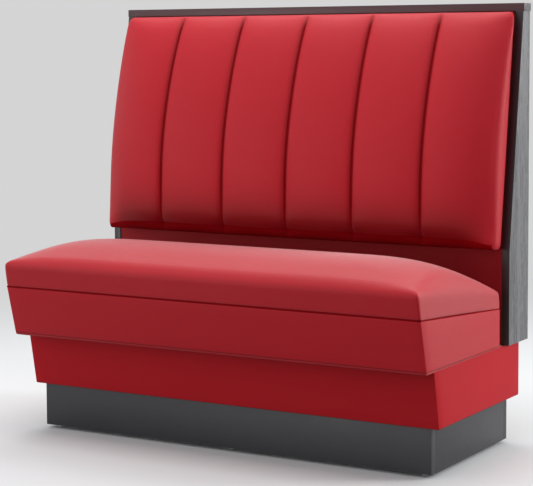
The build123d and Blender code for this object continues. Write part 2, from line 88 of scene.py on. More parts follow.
def looked_at(tree):
    """1 for the rays that show the background itself: camera, glossy and transmission."""
    rays = node(tree, "ShaderNodeLightPath").outputs
    seen = maths(tree, "ADD", rays["Is Camera Ray"], rays["Is Glossy Ray"])
    return maths(tree, "ADD", seen, rays["Is Transmission Ray"], use_clamp=True)


def added(name, data):
    """An object in the scene, made of a mesh, a lamp or a camera."""
    made = bpy.data.objects.new(name, data)
    scene.collection.objects.link(made)
    return made


pale = (0.66, 0.66, 0.66, 1)
cool_light, cool_strength = (0.95, 0.97, 1, 1), 0.7
world = bpy.data.worlds.new("studio_surround")
scene.world = world
world.use_nodes = True
sky = world.node_tree
sky.nodes.clear()
shown = result(sky, "ShaderNodeBackground", {"Color": pale, "Strength": 1.0})
ambient = result(sky, "ShaderNodeBackground", {"Color": cool_light, "Strength": cool_strength})
both = result(sky, "ShaderNodeMixShader", {0: looked_at(sky), 1: ambient, 2: shown})
node(sky, "ShaderNodeOutputWorld", {"Surface": both})

floor_reach, fade_start, fade_end = 40.0, 0.9, 3.2
floor_tone, bounce_tone = (0.7, 0.7, 0.7, 1), (0.1, 0.1, 0.1, 1)
floor_mesh = bpy.data.meshes.new("studio_floor")
floor_square = (-1, -1), (1, -1), (1, 1), (-1, 1)
floor_corners = [(x * floor_reach, y * floor_reach, 0) for x, y in floor_square]
floor_mesh.from_pydata(floor_corners, [], [(0, 1, 2, 3)])
floor = added("studio_floor", floor_mesh)
floor_finish = bpy.data.materials.new("pale_floor")
floor_finish.use_nodes = True
ground = floor_finish.node_tree
ground.nodes.clear()
seen = looked_at(ground)
place = node(ground, "ShaderNodeTexCoord").outputs["Object"]
away = node(ground, "ShaderNodeVectorMath", {0: place}, operation="LENGTH").outputs["Value"]
far = maths(ground, "MULTIPLY", ramp(ground, away, fade_start, fade_end), seen)
shown = mixed(ground, seen, bounce_tone, floor_tone)
matt = result(ground, "ShaderNodeBsdfDiffuse", {"Color": shown})
glow = result(ground, "ShaderNodeEmission", {"Color": pale, "Strength": 1.0})
both = result(ground, "ShaderNodeMixShader", {0: far, 1: matt, 2: glow})
node(ground, "ShaderNodeOutputMaterial", {"Surface": both})
floor_mesh.materials.append(floor_finish)

for name, place, aim, width, height, power in (
    ("light_left", (-3.4, -1.6, 1.6), (0, 0, 0.6), 1.6, 1.8, 13),
    ("light_low", (-1.8, -3.3, 0.7), (0, -0.3, 0.4), 2.2, 0.8, 27),
    ("light_right", (3.3, 1.9, 1.4), (0.4, 0, 0.6), 1.4, 2.2, 100),
    ("light_top", (0, -0.35, 2.9), (0, 0, 0.4), 2.4, 0.9, 27),
    ("light_rim", (-0.8, 1.0, 3.2), (0, -0.1, 0.45), 2.6, 1.0, 34),
):
    lamp = bpy.data.lights.new(name, "AREA")
    lamp.shape = "RECTANGLE"
    lamp.size, lamp.size_y = width, height
    lamp.energy = power
    holder = added(name, lamp)
    holder.location = place
    holder.rotation_euler = (Vector(aim) - Vector(place)).to_track_quat("-Z", "Y").to_euler()

# The camera, found from the photograph's corners: its place; its heading, tilt and roll
# in degrees; its focal length and vertical shift in pixels of the 533 x 486 picture.
camera_place, camera_angles = (2.1889, -3.6576, 0.9745), (30.757, 90 - 4.513, -0.281)
focal_pixels, shift_pixels, picture_width, sensor = 1731, -60, 533, 36
camera_data = bpy.data.cameras.new("camera")
camera_data.sensor_width = sensor
camera_data.lens = focal_pixels * sensor / picture_width
camera_data.shift_y = shift_pixels / picture_width
camera_data.dof.use_dof = False
camera_data.clip_end = 200
camera = added("camera", camera_data)
camera.matrix_world = Matrix.Translation(camera_place)
for angle, axis in zip(camera_angles, "ZXZ"):
    camera.matrix_world = camera.matrix_world @ Matrix.Rotation(math.radians(angle), 4, axis)
scene.camera = camera

# Plinth. Four plywood boards on edge, faced with plain charcoal laminate and glued
# and pinned at the corners, with two bare ribs and a glued block behind each glide.
# The laminate's arrises are paler: partly the filed edge, partly a painted highlight.


def tint(red, green, blue):
    """A colour's 0-255 screen values as the four numbers of a colour socket."""
    steps = (red / 255, green / 255, blue / 255)
    linear = (c / 12.92 if c <= 0.04045 else ((c + 0.055) / 1.055) ** 2.4 for c in steps)
    return (*linear, 1.0)


def surface_group(name, starts):
    """An empty shader group with named inputs and a surface's three results."""
    group = bpy.data.node_groups.new(name, "ShaderNodeTree")
    for key, start in starts.items():
        kind = "Float" if isinstance(start, float) else {3: "Vector", 4: "Color"}[len(start)]
        socket = group.interface.new_socket(key, in_out="INPUT", socket_type="NodeSocket" + kind)
        socket.default_value = start
    for key, kind in (("Colour", "Color"), ("Roughness", "Float"), ("Height", "Float")):
        group.interface.new_socket(key, in_out="OUTPUT", socket_type="NodeSocket" + kind)
    takes = group.nodes.new("NodeGroupInput").outputs
    return group, takes, group.nodes.new("NodeGroupOutput").inputs


def noise(tree, vector, scale, detail, roughness=0.5):
    """A noise pattern's outputs."""
    inputs = {"Vector": vector, "Scale": scale, "Detail": detail, "Roughness": roughness}
    return node(tree, "ShaderNodeTexNoise", inputs).outputs


def scaled(tree, vector, factor):
    """A vector or colour times a number."""
    return result(tree, "ShaderNodeVectorMath", {0: vector, "Scale": factor}, operation="SCALE")


def group_finish(name, group, values, depth, metallic=0.0):
    """A material that shows a surface group: its parts are given back, shader last."""
    finish = bpy.data.materials.new(name)
    finish.use_nodes = True
    tree = finish.node_tree
    shader = tree.nodes["Principled BSDF"]
    shader.inputs["Metallic"].default_value = metallic
    skin = node(tree, "ShaderNodeGroup", values, node_tree=group)
    tree.links.new(skin.outputs["Colour"], shader.inputs["Base Color"])
    tree.links.new(skin.outputs["Roughness"], shader.inputs["Roughness"])
    inputs = {"Height": skin.outputs["Height"], "Distance": depth, "Strength": 1.0}
    tree.links.new(result(tree, "ShaderNodeBump", inputs), shader.inputs["Normal"])
    return finish, tree, skin, shader


# Board grain: long streaks in one direction, broken by slow waves.
board_grain, takes, gives = surface_group("board_grain", {
    "Colour": (0.5, 0.5, 0.5, 1), "Streak Colour": (0.2, 0.2, 0.2, 1), "Along": (1, 1, 0.05),
    "Streaks": 160.0, "Contrast": 0.5, "Waves": 9.0, "Sway": 0.02, "Roughness": 0.5,
})
tree = board_grain
spot = node(tree, "ShaderNodeTexCoord").outputs["Object"]
drawn = result(tree, "ShaderNodeVectorMath", {0: spot, 1: takes["Along"]}, operation="MULTIPLY")
pushed = scaled(tree, noise(tree, spot, takes["Waves"], 2.0)["Color"], takes["Sway"])
wavy = result(tree, "ShaderNodeVectorMath", {0: drawn, 1: pushed}, operation="ADD")
fibres = noise(tree, wavy, takes["Streaks"], 4.0, 0.65)["Fac"]
figure = noise(tree, wavy, 34.0, 3.0, 0.6)["Fac"]
streak = ramp(tree, maths(tree, "ADD", fibres, figure), 0.8, 1.22)
amount = maths(tree, "MULTIPLY", streak, takes["Contrast"])
shown = mixed(tree, amount, takes["Colour"], takes["Streak Colour"])
rougher = maths(tree, "MULTIPLY_ADD", streak, 0.12, takes["Roughness"])
for value, socket in zip((shown, rougher, streak), gives):
    tree.links.new(value, socket)


def grained(name, colour, streak_colour, along, streaks, contrast, roughness, depth, waves=9.0,
            sway=0.02):
    """A finish of drawn grain: laminate, plywood or solid wood."""
    return group_finish(name, board_grain, {
        "Colour": colour, "Streak Colour": streak_colour, "Along": along, "Streaks": streaks,
        "Contrast": contrast, "Roughness": roughness, "Waves": waves, "Sway": sway,
    }, depth)[0]


# Fine texture: a plain surface with a faint mottle and a pressed, pebbled skin.
fine_texture, takes, gives = surface_group("fine_texture", {
    "Colour": (0.5, 0.5, 0.5, 1), "Mottle": 0.08, "Pebbles": 900.0, "Roughness": 0.5,
})
tree = fine_texture
spot = node(tree, "ShaderNodeTexCoord").outputs["Object"]
cloud = noise(tree, spot, 7.0, 4.0)["Fac"]
speck = noise(tree, spot, 260.0, 2.0)["Fac"]
inputs = {"Vector": spot, "Scale": takes["Pebbles"]}
cells = node(tree, "ShaderNodeTexVoronoi", inputs, feature="SMOOTH_F1").outputs["Distance"]
centred = maths(tree, "SUBTRACT", maths(tree, "ADD", cloud, speck), 1.0)
shade = maths(tree, "MULTIPLY_ADD", centred, takes["Mottle"], 1.0)
tone = scaled(tree, takes["Colour"], shade)
dull = maths(tree, "MULTIPLY_ADD", centred, 0.18, takes["Roughness"])
for value, socket in zip((tone, dull, cells), gives):
    tree.links.new(value, socket)


def textured(name, colour, mottle, pebbles, roughness, depth, metallic=0.0):
    """A plain finish with a faint mottle and a fine pressed texture."""
    values = {"Colour": colour, "Mottle": mottle, "Pebbles": pebbles, "Roughness": roughness}
    return group_finish(name, fine_texture, values, depth, metallic)[0]


def eased_board(source, name, ease, face_finish, arris_finish, slot_name):
    """A packed board with its arrises eased: a copy of its mesh, welded and bevelled."""
    mesh = bpy.data.meshes.new(name)
    work = bmesh.new()
    work.from_mesh(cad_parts[source].data)
    bmesh.ops.remove_doubles(work, verts=work.verts, dist=1e-6)
    bmesh.ops.dissolve_limit(work, angle_limit=math.radians(1), verts=work.verts, edges=work.edges)
    for face in work.faces:
        face.smooth = True
        face.material_index = 0
    work.to_mesh(mesh)
    work.free()
    mesh.materials.append(face_finish)
    mesh.materials.append(arris_finish)
    board = added(name, mesh)
    soften = board.modifiers.new("eased_arris", "BEVEL")
    soften.width = ease
    soften.segments = 3
    soften.limit_method = "ANGLE"
    soften.angle_limit = math.radians(40)
    soften.harden_normals = True
    soften.material = 1
    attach(board, "booth")
    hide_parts(source)
    return board


def finish_nodes(finish, *names):
    """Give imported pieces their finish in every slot."""
    for name in names:
        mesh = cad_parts[name].data
        if not mesh.materials:
            mesh.materials.append(finish)
        for index in range(len(mesh.materials)):
            mesh.materials[index] = finish


charcoal = textured("charcoal_laminate", tint(37, 37, 42), 0.22, 700.0, 0.46, 0.00012)
charcoal_arris_highlight = textured("charcoal_arris_highlight", tint(74, 74, 79), 0.2, 500.0, 0.4, 0.00005)
plywood_tints = tint(196, 160, 112), tint(150, 108, 66)
plywood = grained("plywood", *plywood_tints, (0.06, 1, 1), 150.0, 0.7, 0.6, 0.0002)
plinth_ease = 0.0009
for part in ("front", "rear", "left", "right"):
    board_name = f"plinth_{part}_board"
    laminated = board_name + "_laminated"
    eased_board(board_name, laminated, plinth_ease, charcoal, charcoal_arris_highlight, "charcoal_laminate")
finish_nodes(plywood, "plinth_left_rib", "plinth_right_rib", "glide_blocks")

# Levelling glides. A pressed steel foot on a nylon pad, with a spanner hexagon and
# an M8 thread that runs up into a nut in the block. Zinc plated. The profiles are radii
# and levels.
zinc = textured("zinc_plate", (0.62, 0.63, 0.65, 1), 0.25, 1500.0, 0.34, 0.00003, metallic=1.0)
nylon = textured("nylon_pad", tint(48, 48, 50), 0.1, 1200.0, 0.55, 0.00004)
foot_profile = [
    (0.0078, 0.0), (0.0098, 0.0003), (0.0106, 0.001), (0.0107, 0.0016), (0.0107, 0.0018),
    (0.011, 0.0019), (0.011, 0.0031), (0.0106, 0.004), (0.0094, 0.0045), (0.0072, 0.0046),
]
pad_rows, foot_sides = 4, 40
hexagon_profile = [(0.0078, 0.0044), (0.0078, 0.0081), (0.007, 0.0087)]
stem_radius, thread_pitch, thread_depth = 0.004, 0.00125, 0.0005
stem_start, stem_rise, stem_steps, stem_sides = 0.0085, 0.0421, 200, 20


def turned(work, x, y, profile, sides, pad_end=0):
    """A closed turned shape round an upright axis. Its profile gives each ring's radius,
    or a function for it, and its level; rows under pad_end are nylon."""
    rings = []
    turn = [2 * math.pi * i / sides for i in range(sides)]
    for radius, level in profile:
        reach = [radius(a, level) if callable(radius) else radius for a in turn]
        spots = [(x + r * math.cos(a), y + r * math.sin(a), level) for a, r in zip(turn, reach)]
        rings.append([work.verts.new(spot) for spot in spots])
    work.faces.new(rings[0][::-1]).material_index = 1 if pad_end else 0
    work.faces.new(rings[-1]).material_index = 0
    for row, (lower, upper) in enumerate(zip(rings, rings[1:])):
        for i in range(sides):
            after = (i + 1) % sides
            face = work.faces.new((lower[i], lower[after], upper[after], upper[i]))
            face.material_index = 1 if row < pad_end else 0
            face.smooth = sides > 6


def thread_radius(angle, level):
    """The stem's radius at a point of its helical thread."""
    turn = (level / thread_pitch - angle / (2 * math.pi)) % 1
    return stem_radius - thread_depth * (1 - abs(2 * turn - 1))


stem_levels = [stem_start + stem_rise * step / stem_steps for step in range(stem_steps + 1)]
stem_profile = [(thread_radius, level) for level in stem_levels]
for row in ("front", "rear"):
    for column in ("left", "middle", "right"):
        body = f"{row}_{column}_glide"
        low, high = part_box(body)
        work = bmesh.new()
        x, y = (low.x + high.x) / 2, (low.y + high.y) / 2
        turned(work, x, y, foot_profile, foot_sides, pad_rows)
        turned(work, x, y, hexagon_profile, 6)
        turned(work, x, y, stem_profile, stem_sides)
        glide = added(body + "_turned", bpy.data.meshes.new(body + "_turned"))
        work.to_mesh(glide.data)
        work.free()
        glide.data.materials.append(zinc)
        glide.data.materials.append(nylon)
        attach(glide, body)
        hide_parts(body)
finish_nodes(zinc, "glide_nuts", "plinth_screws", "seat_screws", "back_screws", "spring_clips")

# Lower box. Smooth red vinyl over thin felt, drawn over a plywood box: one panel round
# the leaning front and one on each side, sewn at the front corners and turned under
# the box. Vinyl grain: fine creased cells; painted shade mixes the colour toward deep red
# by each point's shade share, and past a share of 1 darkens it further.
vinyl_grain, takes, gives = surface_group("vinyl_grain", {
    "Colour": (0.5, 0.02, 0.03, 1), "Painted Shade Colour": (0.1, 0.0, 0.0, 1), "Grain": 1000.0,
    "Shade": 0.1, "Roughness": 0.42, "Painted Shade": 0.0,
})
tree = vinyl_grain
spot = node(tree, "ShaderNodeTexCoord").outputs["Object"]
slow = noise(tree, spot, 3.2, 3.0, 0.55)["Fac"]
centred = maths(tree, "SUBTRACT", slow, 0.5)
shade = maths(tree, "MULTIPLY_ADD", centred, takes["Shade"], 1.0)
tone = scaled(tree, takes["Colour"], shade)
shaded = mixed(tree, takes["Painted Shade"], tone, takes["Painted Shade Colour"])
inputs = {"Vector": spot, "Scale": takes["Grain"], "Randomness": 0.9}
cells = node(tree, "ShaderNodeTexVoronoi", inputs, feature="DISTANCE_TO_EDGE").outputs["Distance"]
creases = ramp(tree, cells, 0.0, 0.16)
wrinkle = noise(tree, spot, 240.0, 3.0)["Fac"]
height = maths(tree, "MULTIPLY_ADD", wrinkle, 0.8, creases)
rubbed = noise(tree, spot, 11.0, 4.0)["Fac"]
gloss = maths(tree, "MULTIPLY_ADD", rubbed, 0.09, takes["Roughness"])
# Shade shares past 1 darken the colour further: painted shade at the back cushion's foot.
inputs = {"Value": takes["Painted Shade"], "From Min": 1.0, "From Max": 2.0, "To Min": 1.0, "To Max": 0.35}
past = result(tree, "ShaderNodeMapRange", inputs)
deepest = scaled(tree, shaded, past)
for value, socket in zip((deepest, gloss, height), gives):
    tree.links.new(value, socket)


def vinyl(name, colour, shade, roughness, depth, haze, gloss=0.24):
    """Red upholstery vinyl, hazy where it is seen flat on; its shade_share attribute
    darkens it with painted shade in its seams, creases and recesses."""
    values = {
        "Colour": colour, "Painted Shade Colour": tint(130, 1, 10), "Grain": 950.0,
        "Shade": shade, "Roughness": roughness,
    }
    finish, tree, skin, shader = group_finish(name, vinyl_grain, values, depth)
    shade_share = node(tree, "ShaderNodeAttribute", attribute_name="shade_share")
    tree.links.new(shade_share.outputs["Fac"], skin.inputs["Painted Shade"])
    shader.inputs["Specular IOR Level"].default_value = gloss
    shader.inputs["Sheen Weight"].default_value = haze
    shader.inputs["Sheen Roughness"].default_value = 0.38
    return finish


box_vinyl = vinyl("box_vinyl", tint(186, 34, 42), 0.10, 0.42, 0.00009, 0.02, 0.05)
# A darker, sheenless copy of the vinyl: painted shade for faces deep in seams, the seat's seam cord
# and the back's underside.
seam_shade_vinyl = vinyl("seam_shade_vinyl", tint(132, 1, 10), 0.1, 0.7, 0.00003, 0.0, 0.05)


def block_shell(xs, ys, zs):
    """The skin of a block, gridded by three lists of stations: points and outward quads."""
    points, quads, known = [], [], {}

    def quad(*corners):
        for i, j, k in corners:
            if (i, j, k) not in known:
                known[i, j, k] = len(points)
                points.append((xs[i], ys[j], zs[k]))
        quads.append(tuple(known[corner] for corner in corners))

    right, rear, top = len(xs) - 1, len(ys) - 1, len(zs) - 1
    for i, j in np.ndindex(right, rear):
        quad((i, j, top), (i + 1, j, top), (i + 1, j + 1, top), (i, j + 1, top))
        quad((i, j, 0), (i, j + 1, 0), (i + 1, j + 1, 0), (i + 1, j, 0))
    for j, k in np.ndindex(rear, top):
        quad((right, j, k), (right, j + 1, k), (right, j + 1, k + 1), (right, j, k + 1))
        quad((0, j, k), (0, j, k + 1), (0, j + 1, k + 1), (0, j + 1, k))
    for i, k in np.ndindex(right, top):
        quad((i, rear, k), (i, rear, k + 1), (i + 1, rear, k + 1), (i + 1, rear, k))
        quad((i, 0, k), (i + 1, 0, k), (i + 1, 0, k + 1), (i, 0, k + 1))
    return np.array(points), quads


def stations(low, high, roll_low, roll_high, pitch, steps=4):
    """Stations along one side: close together where an edge rolls over, even between."""
    around = 1 - np.tan(np.linspace(math.pi / 4, 0, steps + 1))
    first = low + roll_low * around
    last = high - roll_high * around[::-1]
    count = max(1, round((last[0] - first[-1]) / pitch))
    between = np.linspace(first[-1], last[0], count + 1)
    return np.unique(np.round(np.concatenate([first, between, last]), 7))


def rounded(points, roll_low, roll_high):
    """Roll a block's edges over, with a radius for each side, to points and outward directions."""
    low, high = points.min(0), points.max(0)
    inner = np.clip(points, low + roll_low, high - roll_high)
    reach = points - inner
    radius = np.where(reach < 0, roll_low, roll_high) + np.zeros_like(points)
    share = np.divide(reach, radius, out=np.zeros_like(points), where=radius > 1e-9)
    length = np.linalg.norm(share, axis=1, keepdims=True)
    largest = np.abs(share).max(1, keepdims=True)
    kept = np.divide(largest, length, out=np.zeros_like(length), where=length > 1e-9)
    outward = np.divide(share, length, out=np.zeros_like(share), where=length > 1e-9)
    return inner + radius * share * kept, outward


def quad_mesh(name, points, quads, finish):
    """A smooth-shaded mesh object from points and quads."""
    mesh = bpy.data.meshes.new(name)
    mesh.from_pydata([tuple(p) for p in points], [], quads)
    mesh.polygons.foreach_set("use_smooth", [True] * len(mesh.polygons))
    mesh.materials.append(finish)
    return added(name, mesh)


def mark_painted_shade(piece, shares, sunk):
    """Store each point's share of painted shade, and give the faces whose points are all
    sunk the darker, sheenless seam finish, which also paints the seams' shade."""
    layer = piece.data.attributes.new("shade_share", "FLOAT", "POINT")
    layer.data.foreach_set("value", np.clip(shares, 0, 2).astype(np.float32))
    piece.data.materials.append(seam_shade_vinyl)
    for face in piece.data.polygons:
        if sunk[face.vertices].all():
            face.material_index = 1


stitch_dent, stitch_reach = 0.0012, 0.0016


def drawn_panel(source, outer, inward, rolls, pillow, finish, hem):
    """A vinyl panel drawn over a board. outer: its outside corners, from bottom left
    round to top left as seen from outside. rolls: edge radii left, right, bottom and
    top. pillow: how far the felt behind it swells it. hem: height of the row of
    stitches that draws it in over the bottom edge, or 0 for none."""
    outer = [np.array(corner) for corner in outer]
    width = np.linalg.norm(outer[1] - outer[0])
    height = np.linalg.norm(outer[3] - outer[0])
    inward = np.array(inward)
    depth = np.linalg.norm(inward)
    left, right, bottom, top = rolls
    front_roll = depth * 0.9
    xs = stations(0, width, left, right, 0.03, 3)
    ys = stations(0, depth, front_roll, 0, depth, 3)
    zs = stations(0, height, bottom, top, 0.02, 3)
    if hem:
        beside = hem + np.array([-0.0022, -0.0012, 0, 0.0012, 0.0022, 0.004])
        zs = np.unique(np.concatenate([zs[(zs < hem - 0.003) | (zs > hem + 0.006)], beside]))
    flat, quads = block_shell(xs, ys, zs)
    shape, outward = rounded(flat, np.array([left, front_roll, bottom]), np.array([right, 0, top]))
    across, back, rise = shape[:, 0] / width, shape[:, 1] / depth, shape[:, 2] / height
    facing = np.clip(-outward[:, 1], 0, 1)
    swell = pillow * (1 - (2 * across - 1) ** 8) * (1 - (2 * rise - 1) ** 4) * facing
    low_edge = outer[0] + across[:, None] * (outer[1] - outer[0])
    high_edge = outer[3] + across[:, None] * (outer[2] - outer[3])
    points = low_edge + rise[:, None] * (high_edge - low_edge) + back[:, None] * inward
    # The stitch row's groove is dented in, and its share also darkens the vinyl there with painted
    # shade.
    stitched = np.exp(-((rise * height - hem) / stitch_reach) ** 2) * facing * (1 if hem else 0)
    points += (stitch_dent * stitched - swell)[:, None] * inward / depth
    panel = quad_mesh(source + "_vinyl", points, quads, finish)
    mark_painted_shade(panel, stitched, stitched > 0.6)
    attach(panel, "booth")
    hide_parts(source)


def side_corners(source):
    """A packed prism's corners in the plane across X, each as depth and height: lower
    front, lower rear, upper rear, upper front."""
    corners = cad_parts[source].data.vertices
    rim = sorted({(round(v.co.z, 5), round(v.co.y, 5)) for v in corners})
    low_pair, high_pair = (sorted(pair, key=lambda c: c[1]) for pair in (rim[:2], rim[2:]))
    return [(y, z) for z, y in (low_pair[0], low_pair[1], high_pair[1], high_pair[0])]


corner_roll, butted_roll, foot_roll, rear_turn = 0.0022, 0.0007, 0.003, 0.002
front_pillow, side_pillow = 0.0012, 0.0008


def draw_box(tier, top_roll, finish, hem):
    """The three vinyl panels of one box."""
    front = tier + "_front_cover"
    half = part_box(front)[1].x
    foot, foot_back, _, head = side_corners(front)
    ring = [(-half, *foot), (half, *foot), (half, *head), (-half, *head)]
    rolls = (corner_roll, corner_roll, foot_roll, top_roll)
    drawn_panel(front, ring, (0, foot_back[0] - foot[0], 0), rolls, front_pillow, finish, hem)
    for name, way in (("left", -1), ("right", 1)):
        source = f"{tier}_{name}_cover"
        low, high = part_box(source)
        face = high.x if way > 0 else low.x
        fore, aft, aft_top, fore_top = [(face, *corner) for corner in side_corners(source)]
        ring = (fore, aft, aft_top, fore_top) if way > 0 else (aft, fore, fore_top, aft_top)
        rolls = (*(butted_roll, rear_turn)[::way], foot_roll, top_roll)
        drawn_panel(source, ring, (-way * (high.x - low.x), 0, 0), rolls, side_pillow, finish, hem)


draw_box("lower", 0.002, box_vinyl, 0)
for part in (
    "front_board", "rear_board", "left_board", "right_board", "floor_panel",
    "left_rib", "right_rib",
):
    finish_nodes(plywood, "lower_" + part)

# Seat box. The same vinyl over a box whose front leans out to the nose. Its top edge is
# sewn to the cushion's; the dark line round the seat is painted shade along that seam.
# A row of stitches close above the bottom edge holds its hem.
hem_height, seam_roll = 0.0052, 0.0042
seat_box_vinyl = vinyl("seat_box_vinyl", tint(184, 14, 30), 0.10, 0.44, 0.00009, 0.17)
draw_box("seat", seam_roll, seat_box_vinyl, hem_height)
for part in (
    "front_rail", "rear_rail", "left_rail", "right_rail", "base_panel",
    "front_batten", "rear_batten",
):
    finish_nodes(plywood, "seat_" + part)

# Inside the seat: six springs of oiled wire in a zigzag from batten to batten, a needled
# felt pad that lies on them, and a foam slab up to the seam.
wire_tone = (0.28, 0.26, 0.24, 1)
oiled_wire = textured("oiled_spring_wire", wire_tone, 0.3, 900.0, 0.38, 0.00003, metallic=1.0)
felt = textured("needled_felt", tint(150, 145, 138), 0.35, 1400.0, 0.95, 0.0006)
foam = textured("upholstery_foam", tint(232, 222, 176), 0.12, 600.0, 0.9, 0.0005)
finish_nodes(oiled_wire, "seat_springs")
finish_nodes(felt, "seat_insulator_pad")
finish_nodes(foam, "seat_foam_slab")

# Seat cushion. Foam crowned with filling under one vinyl top, boxed by the same seam all
# round. It is highest behind the middle, falls to the sides and rolls softly over the
# front edge; the front corners stay crisp where they are sewn.
seat_half, seat_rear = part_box("seat_cushion")[1].xy
(base_y, base_z), (seam_front_y, seam_front_z) = side_corners("seat_front_cover")[::3]
seam_rear_rise, nose_lead, nose_rise = 0.094, 0.046, 0.176
seam_rear_z = base_z + seam_rear_rise
nose_y, nose_z = base_y - nose_lead, base_z + nose_rise
edge_height, rear_edge, edge_arch = 0.05, 0.035, 0.0085
front_crown, crown_loss, middle_arch = 0.024, 0.009, 0.054
side_fall, fall_power = 0.29, 3.4
sewn_roll, sewn_rear_roll = 0.0035, 0.005
seat_pressure, seat_swell, seat_smoothing = 3.0, 0.006, 8
edge_hold, hold_reach = 0.25, 0.08
seat_vinyl = vinyl("seat_vinyl", tint(182, 15, 31), 0.12, 0.44, 0.00009, 0.52)


def seam_height(y):
    """The sewn seam's height at a depth; it falls to the rear."""
    seam_rise = seam_rear_z - seam_front_z
    return seam_front_z + seam_rise * (y - seam_front_y) / (seat_rear - seam_front_y)


def fall_to_side(x):
    """How much of the crown's upper half is left at a place across the seat."""
    return 1 - np.clip(1 - (seat_half - np.abs(x)) / side_fall, 0, 1) ** fall_power


def seat_shape(block, crown):
    """Carry a plain rolled block over to the seat's leaning front, sloping seam and dome."""
    x, y, z = block.T
    back = np.clip((y - nose_y) / (seat_rear - nose_y), 0, 1)
    rise = z / edge_height
    bow = 4 * back * (1 - back)
    foot_y = seam_front_y + back * (seat_rear - seam_front_y)
    foot_z = seam_height(foot_y)
    edge_z = nose_z + (seam_rear_z + rear_edge - nose_z) * back + edge_arch * bow
    dome = (front_crown - crown_loss * back + middle_arch * bow) * crown
    top_z = edge_z + dome * (0.5 + 0.5 * fall_to_side(x))
    return np.stack([x, foot_y + (y - foot_y) * rise, foot_z + (top_z - foot_z) * rise], 1)


def inflate(points, quads, held, pressure, most, smoothing):
    """Blow a closed cloth skin up from the inside, with some points held, and give how
    far each point moved, no point by more than the cap and evened out."""
    skin = quad_mesh("blown_skin", points, quads, box_vinyl)
    pins = skin.vertex_groups.new(name="held")
    for weight in np.unique(np.round(held, 1)):
        if weight > 0:
            pins.add(np.nonzero(np.round(held, 1) == weight)[0].tolist(), float(weight), "REPLACE")
    cloth = skin.modifiers.new("cloth", "CLOTH")
    rules = cloth.settings
    rules.vertex_group_mass = "held"
    rules.use_pressure = True
    rules.uniform_pressure_force = pressure
    rules.mass = 0.3
    rules.tension_stiffness = rules.compression_stiffness = 25
    rules.shear_stiffness = 12
    rules.bending_stiffness = 2.5
    rules.air_damping = 3
    rules.quality = 6
    rules.effector_weights.gravity = 0
    cloth.collision_settings.use_collision = False
    cloth.collision_settings.use_self_collision = False
    last_frame = 20
    cloth.point_cache.frame_start, cloth.point_cache.frame_end = 1, last_frame
    for step in range(1, last_frame + 1):
        scene.frame_set(step)
    settled = skin.evaluated_get(bpy.context.evaluated_depsgraph_get()).to_mesh()
    moved = np.empty(len(points) * 3)
    settled.vertices.foreach_get("co", moved)
    shift = moved.reshape(-1, 3) - points
    far = np.linalg.norm(shift, axis=1, keepdims=True)
    shift *= np.tanh(far / most) * most / np.maximum(far, 1e-9)
    sides = np.array([(quad[i], quad[i - 1]) for quad in quads for i in range(4)])
    for turn in range(smoothing):
        beside, count = np.zeros_like(shift), np.zeros((len(shift), 1))
        for here, there in ((0, 1), (1, 0)):
            np.add.at(beside, sides[:, here], shift[sides[:, there]])
            np.add.at(count, sides[:, here], 1)
        shift = 0.4 * shift + 0.6 * beside / count * (held[:, None] < 1)
    skin.modifiers.clear()
    left_over = skin.data
    bpy.data.objects.remove(skin)
    bpy.data.meshes.remove(left_over)
    scene.frame_set(1)
    return shift


flat_points, seat_quads = block_shell(
    stations(-seat_half, seat_half, 0.03, 0.03, 0.014, 7),
    stations(nose_y, seat_rear, 0.024, 0.014, 0.013, 6),
    stations(0, edge_height, seam_roll, 0.022, 0.006, 5),
)
flat_x, flat_y, flat_z = flat_points.T
level = flat_z / edge_height
share_across = fall_to_side(flat_x)
share_back = np.clip((flat_y - nose_y) / (seat_rear - nose_y), 0, 1)
share_bow = 4 * share_back * (1 - share_back)
# The edges' radii: tight at the seam, where the level is 0, and soft at the top.
side_roll = sewn_roll + (0.002 + 0.046 * share_bow ** 0.8) * level ** 2
front_roll = sewn_roll + (0.005 + 0.021 * share_across) * level ** 2
rear_roll = sewn_rear_roll + 0.013 * level ** 2
top_roll = 0.011 + 0.021 * share_bow * (1 - share_across) + 0.008 * share_across
roll_low = np.stack([side_roll, front_roll, np.full_like(level, seam_roll)], 1)
roll_high = np.stack([side_roll, rear_roll, top_roll], 1)
rolled_points = rounded(flat_points, roll_low, roll_high)[0]
seat_points = seat_shape(rolled_points, 0.94)
held_share = np.clip(1.25 - level * 1.3, 0, 1)
held_share[level < 0.25] = 1
from_ends = np.minimum(flat_y - nose_y, seat_rear - flat_y)
from_edge = np.minimum(seat_half - np.abs(flat_x), from_ends)
loose = edge_hold + (1 - edge_hold) * (1 - np.exp(-(from_edge / hold_reach) ** 2))
blown = inflate(
    seat_points, seat_quads, held_share, seat_pressure, seat_swell, seat_smoothing
)
seat_points = seat_points + blown * loose[:, None]
seat_skin = quad_mesh("seat_cushion_padded", seat_points, seat_quads, seat_vinyl)
# Painted shade: the cushion's skin darkens close above the seam, and its lowest faces get the
# darker seam finish.
seat_seam_shade = 1.3 * np.exp(-(rolled_points[:, 2] / 0.0022) ** 2)
mark_painted_shade(seat_skin, np.clip(seat_seam_shade, 0, 1), seat_seam_shade > 0.6)
finer = seat_skin.modifiers.new("smooth", "SUBSURF")
finer.levels = finer.render_levels = 1
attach(seat_skin, "booth")
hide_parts("seat_cushion")

